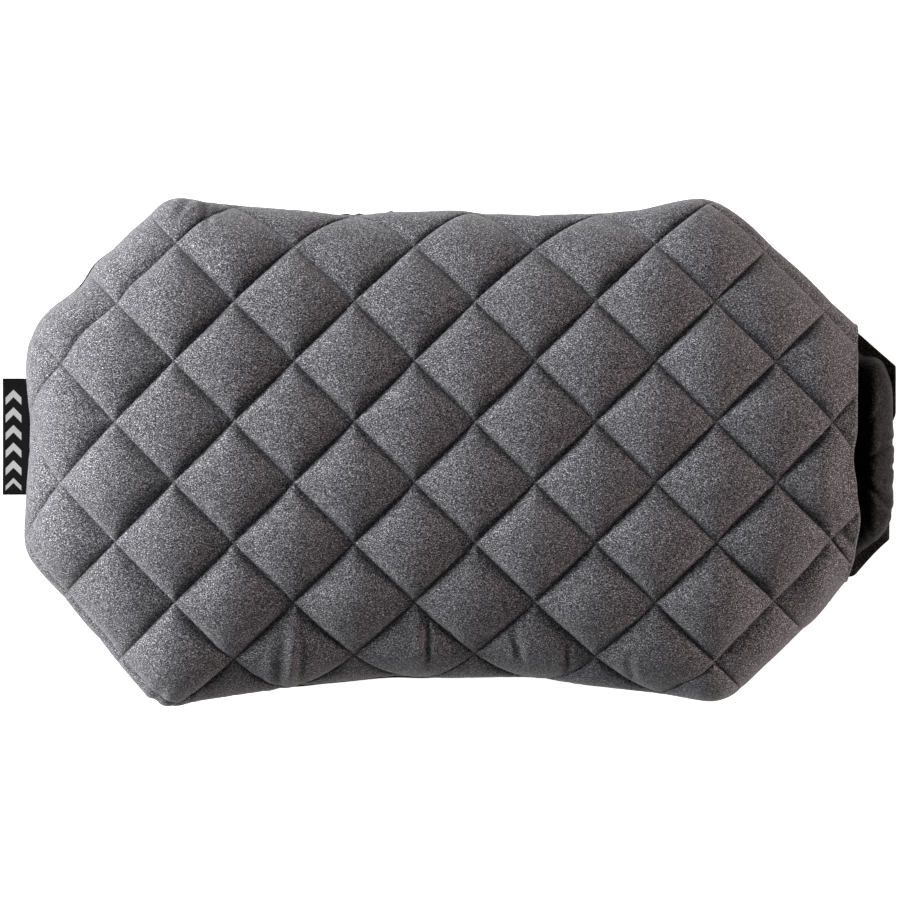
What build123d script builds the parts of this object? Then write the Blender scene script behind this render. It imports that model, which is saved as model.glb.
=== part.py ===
"""Inflatable camp pillow: an air bladder with a flat two-way valve, inside a quilted cover.

Frame: +X runs from the closed, labelled end of the cover towards its open end, and +Z is up. The
origin is on the face that the pillow rests on, below the middle of its long sides. All sizes are
in millimetres.
"""

from build123d import *
from math import cos, radians, sin
import os

os.makedirs("parts", exist_ok=True)

# Driving dimensions of the whole pillow
HALF_WIDTH = 160.0  # to the corners of the long sides
WAIST = 12.0  # how far the long sides pull in at their middle
HEIGHT = 140.0
SEAM_Z = 66.0  # where the quilted top meets the plain back
CLOSED_END_X = -265.0
MOUTH_X = 262.0  # the hem of the quilted top
BACK_MOUTH_X = 250.0  # the hem of the back
AIR_END_X = 296.0  # where the cover's outline would close, past its mouth
CORNER_X = 171.0  # the corners of the long sides
CLOSED_HALF = 62.0  # half the closed end's straight edge
AIR_HALF = 50.0  # half the far end's straight edge
CORNER_RADIUS = 12.0
CORNER_TIGHTENING = 0.06  # the radius lost for each millimetre that a corner is drawn in

# How far the soft crown and base round over, measured in from the outline
CROWN = 95.0
BASE = 75.0
RINGS = 6

# Layers of the cover, each from its outside to its inside, as distances in from the surface
GAP = 0.3
FACE = (0.0, 1.0)
WADDING = (1.3, 5.0)
LINING = (5.3, 6.1)
FACING = (6.4, 7.2)
BACK = (0.0, 1.0)
BACK_FACING = (1.3, 2.1)
FACING_WIDTH = 14.0
BINDING = (1.3, 6.8)
BINDING_HALF = 1.0

# Bladder
SHEET = 0.8
BODY_INSET = 12.0
BODY_TOP = 131.5
BODY_BASE = 3.4
FLANGE = (7.5, 14.2)
FLANGE_HALF = 0.5
BAFFLE_Y = 42.0
BAFFLE_LENGTH = 280.0
BAFFLE_END_CLEAR = 0.1
AIRWAY_RADIUS = 14.0
AIRWAY_PITCH = 70.0
AIRWAYS = 3

# Label, folded over and caught in the closed end's seam
LABEL_REACH = 13.5
LABEL_WIDTH = 74.0
LABEL_Y = 8.5
LABEL_SHEET = 0.5
LABEL_FOLD_GAP = 0.4
LABEL_TAIL = 4.0
LABEL_THICKNESS = 2 * LABEL_SHEET + LABEL_FOLD_GAP

# Valve, on a flat of the bladder under its end: two points of the flat, as X and Z
FLAT_LOW = Vector(258.0, 0, 20.0)
FLAT_HIGH = Vector(283.0, 0, 62.0)
WELD_RADIUS = 16.0
WELD = 0.8
BARREL_FOOT_RADIUS = 15.0
BARREL_RADIUS = 11.0
BORE_RADIUS = 8.0
BARREL = (-5.0, 4.5)  # from inside the bladder to its rim
FIT = 0.02  # radial gap of a pin held in its ears
RUNNING = 0.06  # radial gap of a pin in its knuckle

# Deflate lid: its plug fills the barrel, and it turns on a pin across the barrel's lower side
LID_RADIUS = 10.5
LID = (4.7, 6.2)
LID_PIN_X = -13.2
LID_PIN_Z = 5.4
LID_PIN_RADIUS = 0.75
LID_KNUCKLE_RADIUS = 1.9
LID_KNUCKLE_HALF = 3.0
LID_EARS = (3.2, 4.8)
LID_PLUG_ROOT = 7.85
LID_PLUG_TIP = 6.2
LID_PLUG_TIP_Z = -3.0
LID_TAB = (6.0, 3.4)
PORT_RADIUS = 3.5
SPIDER = 1.2
SPIDER_HOLE_RADIUS = 0.85
SPIDER_HOLE_PITCH = 2.3
SPIDER_HOLES = 4

# Inflate cap: its plug fills the lid's port, and it turns on a pin at the side of the port
CAP_RADIUS = 5.6
CAP = (6.4, 7.8)
CAP_PIN_Y = -7.8
CAP_PIN_Z = 7.6
CAP_PIN_RADIUS = 0.6
CAP_KNUCKLE_RADIUS = 1.3
CAP_KNUCKLE_HALF = 1.7
CAP_EARS = (1.9, 2.9)
CAP_PLUG_ROOT = 3.4
CAP_PLUG_TIP = 2.8
CAP_PLUG_TIP_Z = 3.7
CAP_TAB = (4.0, 2.0)

# Both discs: what joins their rims
TAB_BITE = 1.5  # how far a finger tab runs in under the rim
TAB_CORNER = 0.9
WEB_BITE = 1.0  # how far a knuckle's web runs in under the rim

# Check flap, which air lifts off the lid's spider from outside
FLAP_RADIUS = 5.4
FLAP = 0.5
FLAP_GAP = 0.1
FLAP_LIFT = 1.2
STEM_RADIUS = 0.8
STEM_HOLE_RADIUS = 0.9
STEM_HEAD_RADIUS = 1.5
STEM_HEAD = 0.8


def save(piece, label):
    """Labels a finished piece and writes it to its own STEP file."""
    piece.label = label
    export_step(piece, f"parts/{label}.step")


def drawn_in(corners, inset):
    """The corners of a clockwise polygon after each of its sides has moved in by inset."""
    sides = []
    for start, end in zip(corners, corners[1:] + corners[:1]):
        along = Vector(*end) - Vector(*start)
        inward = along.rotate(Axis.Z, -90).normalized()
        sides.append((Vector(*start) + inward * inset, along))
    moved = []
    for (a, along_a), (b, along_b) in zip(sides[-1:] + sides[:-1], sides):
        share = (b - a).cross(along_b).Z / along_a.cross(along_b).Z
        moved.append(a + along_a * share)
    return [(point.X, point.Y) for point in moved]


def outline(inset, height):
    """The pillow's eight-sided outline, drawn in by inset, at that height."""
    upper = [
        (CLOSED_END_X, CLOSED_HALF),
        (-CORNER_X, HALF_WIDTH),
        (CORNER_X, HALF_WIDTH),
        (AIR_END_X, AIR_HALF),
    ]
    lower = [(x, -y) for x, y in reversed(upper)]
    points = drawn_in(upper + lower, inset)
    waist = HALF_WIDTH - WAIST - inset
    with BuildSketch(Plane.XY.offset(height)) as ring:
        with BuildLine():
            Line(points[0], points[1])
            ThreePointArc(points[1], (0, waist), points[2])
            Polyline(*points[2:6])
            ThreePointArc(points[5], (0, -waist), points[6])
            Polyline(points[6], points[7], points[0])
        make_face()
        fillet(ring.vertices(), CORNER_RADIUS - CORNER_TIGHTENING * inset)
    return ring.sketch


def mound(inset, rim, flat, spread):
    """Half a pillow, from its outline at height rim to a flat at height flat, rounded over spread."""
    with BuildPart() as half:
        for step in range(RINGS):
            angle = radians(90 * step / (RINGS - 1))
            reach = inset + spread * (1 - cos(angle))
            add(outline(reach, rim + (flat - rim) * sin(angle)))
        loft()
    return half.part


def band(insets, half):
    """A flat band that follows the outline, between two insets, on the seam's height."""
    with BuildPart() as ring:
        extrude(outline(insets[0], SEAM_Z - half), amount=2 * half)
        extrude(outline(insets[1], SEAM_Z - half), amount=2 * half, mode=Mode.SUBTRACT)
    return ring.part


def crown_layer(layer):
    """One layer of the quilted top, as a shell that is open at its mouth."""
    outside, inside = layer
    with BuildPart() as shell:
        add(mound(outside, SEAM_Z, HEIGHT - outside, CROWN - outside))
        add(mound(inside, SEAM_Z, HEIGHT - inside, CROWN - inside), mode=Mode.SUBTRACT)
        split(bisect_by=Plane.YZ.offset(MOUTH_X), keep=Keep.BOTTOM)
    return shell.part


def base_layer(layer):
    """One layer of the plain back, as a shell that is open at its mouth."""
    outside, inside = layer
    with BuildPart() as shell:
        add(mound(outside, SEAM_Z, outside, BASE - outside))
        add(mound(inside, SEAM_Z, inside, BASE - inside), mode=Mode.SUBTRACT)
        split(bisect_by=Plane.YZ.offset(BACK_MOUTH_X), keep=Keep.BOTTOM)
    return shell.part


def label_slot():
    """The room that the folded label takes in the closed end's seam."""
    reach = LABEL_TAIL + GAP
    with BuildPart() as slot:
        with Locations((CLOSED_END_X, LABEL_Y, SEAM_Z)):
            Box(2 * reach, LABEL_WIDTH + 2 * GAP, LABEL_THICKNESS + 2 * GAP)
    return slot.part


# ---- Cover ----

above_binding = Plane.XY.offset(SEAM_Z + BINDING_HALF + GAP)
below_binding = Plane.XY.offset(SEAM_Z - BINDING_HALF - GAP)

with BuildPart() as cover_face:
    add(crown_layer(FACE))
    add(label_slot(), mode=Mode.SUBTRACT)
save(cover_face.part, "cover_face")

for name, layer in (("quilt_wadding", WADDING), ("quilt_lining", LINING)):
    with BuildPart() as quilt_layer:
        add(crown_layer(layer))
        split(bisect_by=above_binding, keep=Keep.TOP)
    save(quilt_layer.part, name)

with BuildPart() as mouth_facing:
    add(crown_layer(FACING))
    split(bisect_by=above_binding, keep=Keep.TOP)
    split(bisect_by=Plane.YZ.offset(MOUTH_X - FACING_WIDTH), keep=Keep.TOP)
save(mouth_facing.part, "mouth_facing")

with BuildPart() as cover_back:
    add(base_layer(BACK))
    add(label_slot(), mode=Mode.SUBTRACT)
save(cover_back.part, "cover_back")

with BuildPart() as back_facing:
    add(base_layer(BACK_FACING))
    split(bisect_by=below_binding, keep=Keep.BOTTOM)
    split(bisect_by=Plane.YZ.offset(BACK_MOUTH_X - FACING_WIDTH), keep=Keep.TOP)
save(back_facing.part, "back_facing")

with BuildPart() as seam_binding:
    add(band(BINDING, BINDING_HALF))
    split(bisect_by=Plane.YZ.offset(BACK_MOUTH_X), keep=Keep.BOTTOM)
    add(label_slot(), mode=Mode.SUBTRACT)
save(seam_binding.part, "seam_binding")

with BuildPart() as side_label:
    ply = (LABEL_SHEET + LABEL_FOLD_GAP) / 2
    tail_x = CLOSED_END_X + LABEL_TAIL
    fold_x = CLOSED_END_X - LABEL_REACH + LABEL_THICKNESS / 2
    with BuildSketch(Plane.XZ.offset(-LABEL_Y)):
        with BuildLine():
            Line((tail_x, SEAM_Z + ply), (fold_x, SEAM_Z + ply))
            ThreePointArc((fold_x, SEAM_Z + ply), (fold_x - ply, SEAM_Z), (fold_x, SEAM_Z - ply))
            Line((fold_x, SEAM_Z - ply), (tail_x, SEAM_Z - ply))
        trace(line_width=LABEL_SHEET)
    extrude(amount=LABEL_WIDTH / 2, both=True)
save(side_label.part, "side_label")

# ---- Bladder ----

sheet_top = SEAM_Z + FLANGE_HALF
sheet_bottom = SEAM_Z - FLANGE_HALF
inner_inset = BODY_INSET + SHEET

with BuildPart() as bladder_top:
    add(mound(BODY_INSET, sheet_top, BODY_TOP, CROWN - BODY_INSET))
    add(mound(inner_inset, sheet_top, BODY_TOP - SHEET, CROWN - inner_inset), mode=Mode.SUBTRACT)
save(bladder_top.part, "bladder_top")

# The valve's own plane: x up the flat, z out of the bladder
up_flat = (FLAT_HIGH - FLAT_LOW).normalized()
seat = Plane(
    origin=(FLAT_LOW + FLAT_HIGH) * 0.5,
    x_dir=up_flat,
    z_dir=Vector(up_flat.Z, 0, -up_flat.X),
)

with BuildPart() as bladder_body:
    add(mound(BODY_INSET, sheet_bottom, BODY_BASE, BASE - BODY_INSET))
    split(bisect_by=seat, keep=Keep.BOTTOM)
with BuildPart() as bladder_air:
    add(mound(inner_inset, sheet_bottom, BODY_BASE + SHEET, BASE - inner_inset))
    split(bisect_by=seat.offset(-SHEET), keep=Keep.BOTTOM)
with BuildPart() as bladder_base:
    add(bladder_body.part)
    add(bladder_air.part, mode=Mode.SUBTRACT)
    with BuildSketch(seat.offset(-2 * SHEET)):
        Circle(BARREL_RADIUS + GAP / 2)
    extrude(amount=4 * SHEET, mode=Mode.SUBTRACT)
save(bladder_base.part, "bladder_base")

save(band(FLANGE, FLANGE_HALF), "bladder_flange")

for name, side in (("baffle_front", -1), ("baffle_rear", 1)):
    baffle_low = BODY_BASE + SHEET + BAFFLE_END_CLEAR
    baffle_high = BODY_TOP - SHEET - BAFFLE_END_CLEAR
    baffle_mid = (baffle_low + baffle_high) / 2
    with BuildPart() as baffle:
        with BuildSketch(Plane.XZ.offset(-side * BAFFLE_Y)):
            with Locations((0, baffle_mid)):
                Rectangle(BAFFLE_LENGTH, baffle_high - baffle_low)
                with GridLocations(AIRWAY_PITCH, 0, AIRWAYS, 1):
                    Circle(AIRWAY_RADIUS, mode=Mode.SUBTRACT)
        extrude(amount=SHEET / 2, both=True)
    save(baffle.part, name)

# ---- Valve ----


def pin_plane(x, y, z, along, across):
    """A plane across a hinge pin, given in the valve's plane: z along the pin, x across it."""
    return Plane(origin=seat.from_local_coords((x, y, z)), x_dir=across, z_dir=along)


# Both planes have y pointing out of the bladder
lid_hinge = pin_plane(LID_PIN_X, 0, LID_PIN_Z, -seat.y_dir, seat.x_dir)
cap_hinge = pin_plane(0, CAP_PIN_Y, CAP_PIN_Z, seat.x_dir, seat.y_dir)


def ears(hinge, radius, drop, spans, hole):
    """Two round-topped ears that stand drop below the pin, each between the two spans along it."""
    with BuildPart() as pair:
        with BuildSketch(hinge):
            Circle(radius)
            Rectangle(2 * radius, drop, align=(Align.CENTER, Align.MAX))
        extrude(amount=spans[1], both=True)
        with BuildSketch(hinge):
            Circle(drop + 2 * radius)
        extrude(amount=spans[0], both=True, mode=Mode.SUBTRACT)
        with BuildSketch(hinge):
            Circle(hole)
        extrude(amount=spans[1], both=True, mode=Mode.SUBTRACT)
    return pair.part


def knuckle(hinge, radius, half, reach, web):
    """A round knuckle on a pin with a web that reaches to its disc, between two heights."""
    with BuildPart() as barrel:
        with BuildSketch(hinge):
            Circle(radius)
            with Locations((0, web[0])):
                Rectangle(reach, web[1] - web[0], align=(Align.MIN, Align.MIN))
        extrude(amount=half, both=True)
    return barrel.part


def pin(hinge, radius, half):
    """A plain hinge pin, half to each side of the plane across it."""
    with BuildPart() as rod:
        with BuildSketch(hinge):
            Circle(radius)
        extrude(amount=half, both=True)
    return rod.part


def bored(hinge, radius, half):
    """The clear hole of a knuckle, to be taken out once the knuckle has joined its disc."""
    return pin(hinge, radius, half + GAP)


def tapered_plug(root_z, root, tip_z, tip):
    """A round plug under its disc, narrower at its tip so that it swings clear of its hole."""
    with BuildPart() as plug:
        with BuildSketch(seat.offset(root_z)):
            Circle(root)
        with BuildSketch(seat.offset(tip_z)):
            Circle(tip)
        loft()
    return plug.part


def disc(radius, spans):
    """A round plate in the valve's plane, between two heights."""
    with BuildPart() as plate:
        with BuildSketch(seat.offset(spans[0])):
            Circle(radius)
        extrude(amount=spans[1] - spans[0])
    return plate.part


def finger_tab(spans, centre, size):
    """A round-cornered tab that a fingertip lifts its disc by."""
    with BuildPart() as tab:
        with BuildSketch(seat.offset(spans[0])):
            with Locations(centre):
                RectangleRounded(*size, radius=TAB_CORNER)
        extrude(amount=spans[1] - spans[0])
    return tab.part


with BuildPart() as valve_weld:
    add(disc(WELD_RADIUS, (0, WELD)))
    add(disc(BARREL_RADIUS + GAP / 2, (0, WELD)), mode=Mode.SUBTRACT)
save(valve_weld.part, "valve_weld_disc")

with BuildPart() as valve_barrel:
    add(ears(lid_hinge, LID_KNUCKLE_RADIUS, LID_PIN_Z - WELD, LID_EARS, LID_PIN_RADIUS + FIT))
    with BuildSketch(seat.offset(WELD)):
        Circle(BARREL_FOOT_RADIUS)
    extrude(amount=WELD)
    add(disc(BARREL_RADIUS, BARREL))
    add(disc(BORE_RADIUS, BARREL), mode=Mode.SUBTRACT)
save(valve_barrel.part, "valve_barrel")

lid_web = (LID[0] - LID_PIN_Z, LID[1] - LID_PIN_Z)
lid_web_reach = WEB_BITE - LID_PIN_X - LID_RADIUS
port_floor = LID_PLUG_TIP_Z + SPIDER
with BuildPart() as deflate_lid:
    add(disc(LID_RADIUS, LID))
    add(finger_tab(LID, (LID_RADIUS + LID_TAB[1] / 2 - TAB_BITE, 0), (LID_TAB[1] + TAB_BITE, LID_TAB[0])))
    add(tapered_plug(LID[0], LID_PLUG_ROOT, LID_PLUG_TIP_Z, LID_PLUG_TIP))
    add(knuckle(lid_hinge, LID_KNUCKLE_RADIUS, LID_KNUCKLE_HALF, lid_web_reach, lid_web))
    add(ears(cap_hinge, CAP_KNUCKLE_RADIUS, CAP_PIN_Z - LID[1], CAP_EARS, CAP_PIN_RADIUS + FIT))
    add(bored(lid_hinge, LID_PIN_RADIUS + RUNNING, LID_KNUCKLE_HALF), mode=Mode.SUBTRACT)
    add(disc(PORT_RADIUS, (port_floor, LID[1])), mode=Mode.SUBTRACT)
    with BuildSketch(seat.offset(LID_PLUG_TIP_Z)):
        Circle(STEM_HOLE_RADIUS)
        with PolarLocations(SPIDER_HOLE_PITCH, SPIDER_HOLES):
            Circle(SPIDER_HOLE_RADIUS)
    extrude(amount=SPIDER, mode=Mode.SUBTRACT)
save(deflate_lid.part, "deflate_lid")
save(pin(lid_hinge, LID_PIN_RADIUS, LID_EARS[1]), "deflate_lid_pin")

cap_web = (CAP[0] - CAP_PIN_Z, CAP[1] - CAP_PIN_Z)
cap_web_reach = WEB_BITE - CAP_PIN_Y - CAP_RADIUS
with BuildPart() as inflate_cap:
    add(disc(CAP_RADIUS, CAP))
    add(finger_tab(CAP, (0, CAP_RADIUS + CAP_TAB[1] / 2 - TAB_BITE), (CAP_TAB[0], CAP_TAB[1] + TAB_BITE)))
    add(tapered_plug(CAP[0], CAP_PLUG_ROOT, CAP_PLUG_TIP_Z, CAP_PLUG_TIP))
    add(knuckle(cap_hinge, CAP_KNUCKLE_RADIUS, CAP_KNUCKLE_HALF, cap_web_reach, cap_web))
    add(bored(cap_hinge, CAP_PIN_RADIUS + RUNNING, CAP_KNUCKLE_HALF), mode=Mode.SUBTRACT)
save(inflate_cap.part, "inflate_cap")
save(pin(cap_hinge, CAP_PIN_RADIUS, CAP_EARS[1]), "inflate_cap_pin")

flap_top = LID_PLUG_TIP_Z - FLAP_GAP
head_z = port_floor + FLAP_LIFT
with BuildPart() as check_flap:
    add(disc(FLAP_RADIUS, (flap_top - FLAP, flap_top)))
    add(disc(STEM_RADIUS, (flap_top, head_z)))
    add(disc(STEM_HEAD_RADIUS, (head_z, head_z + STEM_HEAD)))
save(check_flap.part, "check_flap")
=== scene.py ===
"""Looks of the inflatable camp pillow: quilted cover, plain back, label, bladder and valve.

Sizes are in metres and bearings in degrees, in the frame of the CAD part.
"""

import math

import bmesh
import bpy
import numpy as np
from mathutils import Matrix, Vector
from mathutils.bvhtree import BVHTree
from mathutils.geometry import delaunay_2d_cdt


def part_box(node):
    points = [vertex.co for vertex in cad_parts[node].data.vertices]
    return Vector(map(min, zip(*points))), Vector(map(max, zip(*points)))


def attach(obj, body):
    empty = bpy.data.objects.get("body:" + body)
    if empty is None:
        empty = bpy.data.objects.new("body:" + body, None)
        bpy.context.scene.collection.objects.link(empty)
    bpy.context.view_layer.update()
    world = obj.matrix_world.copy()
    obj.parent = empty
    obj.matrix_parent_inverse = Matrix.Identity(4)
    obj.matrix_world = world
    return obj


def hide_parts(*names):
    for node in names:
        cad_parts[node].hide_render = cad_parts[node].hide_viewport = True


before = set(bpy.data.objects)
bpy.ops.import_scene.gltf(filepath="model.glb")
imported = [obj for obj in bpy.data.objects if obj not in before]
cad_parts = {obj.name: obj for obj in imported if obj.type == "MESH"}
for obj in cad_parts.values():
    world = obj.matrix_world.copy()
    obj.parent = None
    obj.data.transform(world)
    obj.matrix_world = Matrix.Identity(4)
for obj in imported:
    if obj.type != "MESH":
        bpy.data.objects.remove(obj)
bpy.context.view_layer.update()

# ---- Driving sizes ----

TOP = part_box("cover_face")[1].z
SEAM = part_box("cover_face")[0].z
CLOSED_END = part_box("cover_face")[0].x
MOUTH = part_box("cover_face")[1].x
BACK_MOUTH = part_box("cover_back")[1].x
AIR_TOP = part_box("bladder_top")[1].z
AIR_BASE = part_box("bladder_base")[0].z

# Outline of the pillow at its seam, as in the CAD part but for its waists
HALF_WIDTH = 0.160
WAISTS = {-1: 0.0155, 1: 0.0095}  # how far the long side on -Y and the one on +Y curve in
AIR_END = 0.296
CORNER = 0.171
CLOSED_HALF = 0.062
AIR_HALF = 0.050
END_WAIST = 0.0042
END_WAIST_HALF = 0.045
LABEL_Y = 0.0085
CORNER_SOFTNESS = 0.003
SOFTENING = 0.16  # gain of the corners' softness over distance in from the outline

# How far the seam strays out of that outline, by bearing
SEAM_WANDER = (
    (0, 0.0), (16, 0.0), (28, 0.0018), (36, 0.0030), (44, 0.0008), (52, -0.0037), (68, -0.0031),
    (78, -0.0012), (86, 0.0013), (100, 0.0), (112, -0.0026), (122, -0.0012), (132, -0.0006),
    (140, 0.0027), (148, 0.0034), (152, 0.0056), (156, 0.0027), (162, 0.0066), (168, 0.0),
    (188, 0.0), (198, 0.0028), (208, 0.0046), (214, 0.0074), (220, 0.0080), (226, 0.0018),
    (234, 0.0016), (244, 0.0), (258, -0.0015), (270, 0.0), (292, -0.0018), (302, 0.0),
    (315, 0.0), (321, 0.0058), (328, 0.0044), (334, 0.0036), (340, 0.0042), (348, 0.0), (360, 0.0),
)
WANDER_REACH = 0.03

# Sections of the faces: how far they round over, and how squarely
CROWN_SPREAD = 0.146
CROWN_POWER = 2.4
BASE_SPREAD = 0.105
BASE_POWER = 2.6
RIM_POINTS = 900
RING_STEP = 0.002
UNROLLED = 0.8  # share of a section past which its cloth is as good as flat
JITTER = 0.22  # how loosely the points of a cloth mesh lie, in steps of that mesh
RIM_GAP = 0.6  # how near to its rim they come, in steps

# Quilting
DIAMOND = (0.0757, 0.0763)
QUILT_ORIGIN = (-0.0169, -0.0203)
LINE_PITCH = DIAMOND[0] * DIAMOND[1] / math.hypot(*DIAMOND)
PUFF = 0.0072
PUFF_EDGE = 0.9
PUFF_CREST = 0.8  # share of PUFF by which the crown under the quilting lies below the CAD part
ROLL = 0.0012  # how steeply and how narrowly the cloth leaves each line of stitches
ROLL_REACH = 0.0009
CREASE_ROWS = (0.0006, 0.0015)
CROSSING_GAP = 0.0003
PUFF_VARIATION = 0.12
PUFF_CELLS = 64
PUFF_RISE = 0.075  # how far in from the seam the quilting reaches its full height
ROLL_RISE = 0.030
PUFF_AT_HEM = 0.35  # share of the quilting's height that is left where the hem flattens it
CLOTH_STEP = 0.0024
COVER_THICKNESS = 0.005
HEM_RADIUS = 0.0021
HEM_DEPTH = 0.009
HEM_THINNING = 0.75
HEM_TAPER = 0.010
HEM_WAVE_REACH = 0.03
HEM_WAVE = (  # y, and how far the hem stands out there
    (-0.082, -0.0065), (-0.067, -0.0031), (-0.043, -0.0003), (-0.026, -0.0026), (-0.006, -0.0049),
    (0.014, -0.0024), (0.042, -0.0020), (0.065, -0.0014), (0.078, -0.0004),
)
FACE_FOLDS = (  # plan of the small folds in the quilted face: from, to, height, half width
    ((-0.093, -0.108), (-0.097, -0.154), 0.0016, 0.0030),
    ((-0.108, -0.124), (-0.110, -0.152), 0.0008, 0.0026),
    ((-0.010, -0.100), (-0.008, -0.136), -0.0014, 0.0026),
    ((0.005, -0.108), (0.008, -0.128), -0.0009, 0.0022),
    ((0.037, -0.088), (0.041, -0.106), -0.0010, 0.0024),
    ((0.045, -0.108), (0.051, -0.132), -0.0011, 0.0026),
    ((0.078, -0.120), (0.080, -0.140), -0.0013, 0.0024),
    ((0.118, -0.128), (0.122, -0.146), -0.0009, 0.0024),
    ((-0.150, 0.157), (-0.147, 0.136), -0.0020, 0.0024),
    ((-0.160, 0.156), (-0.166, 0.140), -0.0012, 0.0022),
    ((-0.178, -0.156), (-0.168, -0.138), -0.0016, 0.0024),
    ((-0.160, -0.156), (-0.158, -0.140), -0.0011, 0.0020),
    ((0.262, -0.060), (0.246, -0.048), -0.0022, 0.0028),
    ((0.170, 0.152), (0.160, 0.134), -0.0008, 0.0024),
)
FOLD_HOLLOW = (0.45, 1.9, 0.9)  # beside a fold: depth, distance and spread, in the fold's sizes
FOLD_ENDS = ((-0.15, 0.0), (0.25, 1.0), (0.65, 1.0), (1.15, 0.0))  # height along a fold
FOLD_CLEARANCE = 0.003  # a fold fades out this near to a line of stitches
SEAM_PINCH = 0.0022
SEAM_PINCH_REACH = 0.004
STITCH_PITCH = 0.0035
STITCH_LENGTH = 0.0026
STITCH_RADIUS = 0.00028
STITCH_SHAPE = ((-1.0, 0.25), (-0.8, 0.8), (0.0, 1.0), (0.8, 0.8), (1.0, 0.25))
STITCH_SIDES = 6

# Back and seam tape
BACK_THICKNESS = 0.0007
BACK_STEP = 0.0034
BACK_FOLDS = (0.0016, 0.022, (34, 120))  # depth, reach, and counts round the pillow
FOLD_RISE = 0.014
BACK_PEEP = 1.5
PEEP_WAVES = ((3, 0.4, 1.0), (7, 2.0, 0.7))  # count round the pillow, start, height
PEEP_LEVEL = 0.3
BACK_HEM_RADIUS = 0.0009
BACK_WAVE = ((-0.09, -0.003), (-0.05, 0.001), (0.0, -0.002), (0.04, 0.0015), (0.09, -0.001))
TAPE_THICKNESS = 0.0004
TAPE_LINES = (  # inset from the outline, and rise over the seam
    (0.0084, 0.0013), (0.0050, 0.0013), (0.0040, 0.0009), (0.0037, 0.0),
    (0.0040, -0.0009), (0.0050, -0.0013), (0.0084, -0.0013),
)

# Label
LABEL_LOW, LABEL_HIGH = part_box("side_label")
LABEL_MIDDLE = (LABEL_LOW.x + CLOSED_END) / 2  # of the part outside the seam
LABEL_CURL = 0.0014
LABEL_PLY = 0.00055
LABEL_THICKNESS = 0.0003
LABEL_ROWS = 60
CHEVRON_PITCH = 0.0112
CHEVRON_SHARE = 0.42
BAND_HALF_WIDTH = 0.0050
BAND_HALF_LENGTH = 0.0308
BAND_Y = LABEL_Y + 0.0015

# Bladder
AIR_INSET = 0.0095
AIR_SOFTNESS = 0.002
AIR_STEP = 0.0016
AIR_STEP_INSIDE = 0.006  # where the cover hides the bladder
FINE_FROM = 0.225
AIR_FOLDS = (0.0007, 0.012, (30, 90))
FLANGE_INSET = 0.0075
FLANGE_LAP = 0.002
FLANGE_FLARE = 0.005  # how much nearer the outline the flange comes, out of the mouth
FLARE_RUN = 0.012
FLANGE_FREE = ((-0.0075, 0.0), (0.0075, 1.0))  # past the mouth, how freely the flange hangs
FLANGE_RUFFLE = 0.0006
FLANGE_WAVES = ((1 / 0.0062, 0.0, 1.0), (1 / 0.0035, 1.0, 0.6))  # rate, start, height
FLANGE_DROOP = 0.003
DROOP_RUN = 0.02
AIR_SIDES = {  # along the free end, how much wider the bladder is on its -Y and on its +Y side
    -1: ((0.245, 1.0), (0.264, 1.01), (0.280, 1.06), (0.290, 1.02)),
    1: ((0.240, 1.0), (0.265, 0.955), (0.280, 1.10), (0.290, 1.02)),
}
SIDE_RUN = 0.03  # from the middle out, how soon that widening is complete
FLANGE_END_WAVE = ((-0.06, -0.0040), (0.012, -0.0042), (0.024, 0.0), (0.06, 0.0))
FILM = 0.0008
END_DIP = ((0.232, 1.0), (0.260, 0.64), (0.275, 1.0))  # along it, share of the bladder's height
CREASE_CENTRE = (0.257, -0.012)
CREASES = ((64, 0.0014), (30, 0.0044), (3, 0.0034), (-20, 0.0014), (-43, 0.0042), (-71, 0.0024))
CREASE_WIDTH = 0.0022
CREASE_SWELL = (0.5, 0.006)  # how high, as a share of a crease, and how far out its sides swell
CREASE_SPAN = ((0.002, 0.0), (0.014, 1.0), (0.032, 1.0), (0.062, 0.0))  # depth by radius
CREASE_FRONT = ((-0.004, 0.0), (0.006, 1.0))
CREASE_RIM = 0.006
VALVE_FLAT = ((0.258, 0.020), (0.283, 0.062))
BARREL_RADIUS = 0.011
BAFFLE_Y = 0.042
BAFFLE_HALF = 0.140
BAFFLE_STEP = 0.0025
BAFFLE_ROWS = 52
AIRWAY_RADIUS = 0.014
AIRWAY_PITCH = 0.070

SEED = 11
SIM_SCALE = 10  # the cloth solver works on a copy this many times larger
SIM_FRAMES = 14

# Camera, floor and lights
CAMERA_X = 0.0054
CAMERA_RISE = 5.0
VIEW_WIDTH = 0.5715
FLOOR_REACH = 40
AIM = (0, 0, 0.07)


# ---- Shape of the pillow ----


def side_distances(x, y):
    """How far each point lies inside each of the outline's eight sides."""
    pulled = END_WAIST * np.exp(-(((y - LABEL_Y) / END_WAIST_HALF) ** 2))
    sides = [x - CLOSED_END - pulled, AIR_END - x]
    for side, waist in WAISTS.items():
        arc_radius = (CORNER**2 + waist**2) / (2 * waist)
        sides.append(np.hypot(x, side * y - (HALF_WIDTH - waist + arc_radius)) - arc_radius)
        for end, half, corner in ((CLOSED_END, CLOSED_HALF, -CORNER), (AIR_END, AIR_HALF, CORNER)):
            run, rise = corner - end, HALF_WIDTH - half
            across = rise * (x - end) - run * (side * y - half)
            sides.append(math.copysign(1, run) * across / math.hypot(run, rise))
    return np.stack(sides)


def inset_of(x, y, softness=CORNER_SOFTNESS):
    """Distance in from the outline, with corners that get softer further in."""
    sides = side_distances(x, y)
    nearest = sides.min(0)
    soft = softness + SOFTENING * np.clip(nearest, 0, None)
    return nearest - soft * np.log(np.exp((nearest - sides) / soft).sum(0))


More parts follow.
